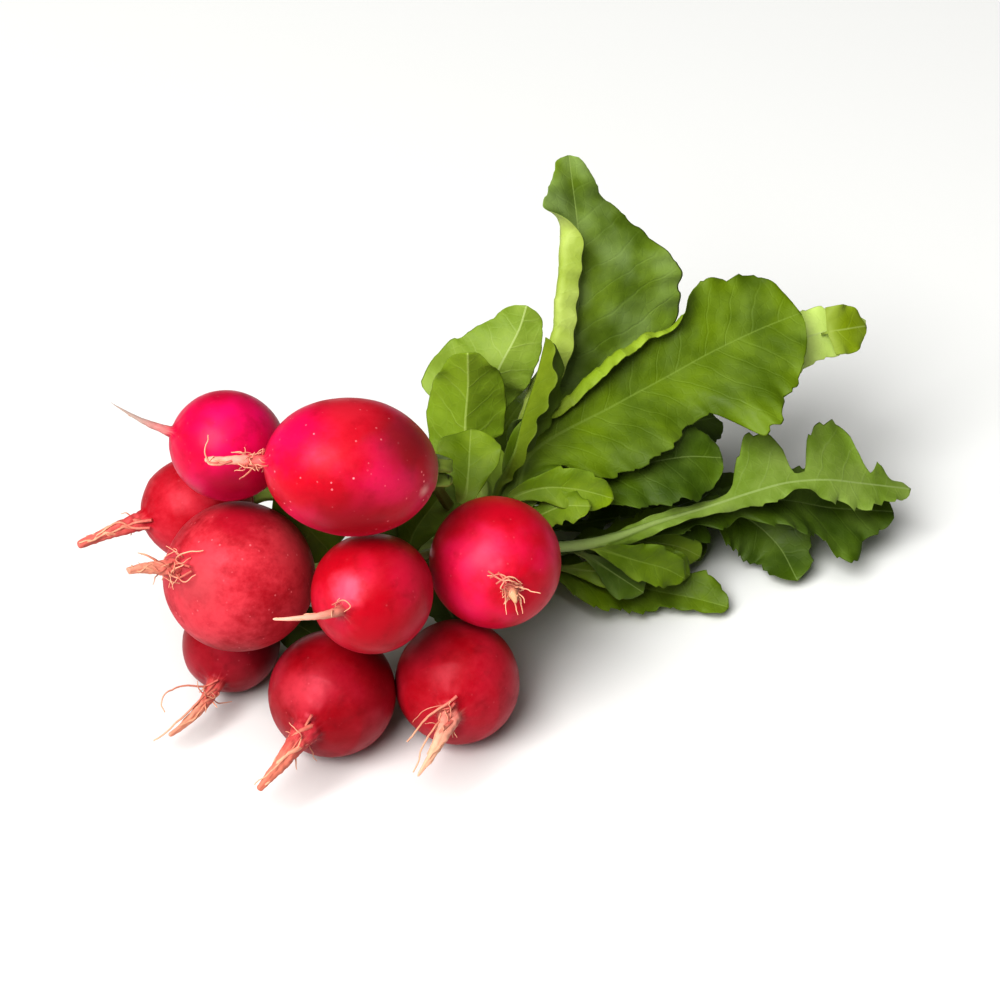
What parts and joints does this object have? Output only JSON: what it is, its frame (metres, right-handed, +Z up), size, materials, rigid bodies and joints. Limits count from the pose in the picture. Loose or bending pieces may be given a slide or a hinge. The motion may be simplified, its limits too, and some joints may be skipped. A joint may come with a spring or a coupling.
{
  "type": "bunch of radishes",
  "caption": "Tied bunch of red radishes with their taproots and green leaves, lying on a surface.",
  "frame": {"origin": "on the surface, under the middle of the bunch's bounding box", "axes": "+Z up, +X along the tied stems from the roots towards the leaf tips, +Y to the left of that"},
  "size_m": [0.1984, 0.1042, 0.0911],
  "materials": {
    "radish_skin": "satin",
    "leaf_green": "matte",
    "band_rubber": "matte"
  },
  "bodies": {
    "root": {"radish_01": "radish_skin", "radish_02": "radish_skin", "radish_03": "radish_skin", "radish_04": "radish_skin", "radish_05": "radish_skin", "radish_06": "radish_skin", "radish_07": "radish_skin", "radish_08": "radish_skin", "radish_09": "radish_skin", "leaf_tall": "leaf_green", "leaf_broad": "leaf_green", "leaf_folded": "leaf_green", "leaf_hood": "leaf_green", "leaf_left": "leaf_green", "leaf_far": "leaf_green", "leaf_small": "leaf_green", "leaf_lobed_high": "leaf_green", "leaf_under": "leaf_green", "leaf_lobed_low": "leaf_green", "leaf_oval": "leaf_green", "leaf_short": "leaf_green", "leaf_ground": "leaf_green", "leaf_middle": "leaf_green", "leaf_back_1": "leaf_green", "leaf_back_2": "leaf_green", "leaf_back_3": "leaf_green", "leaf_back_4": "leaf_green", "leaf_back_5": "leaf_green", "band": "band_rubber"}
  },
  "joints": []
}
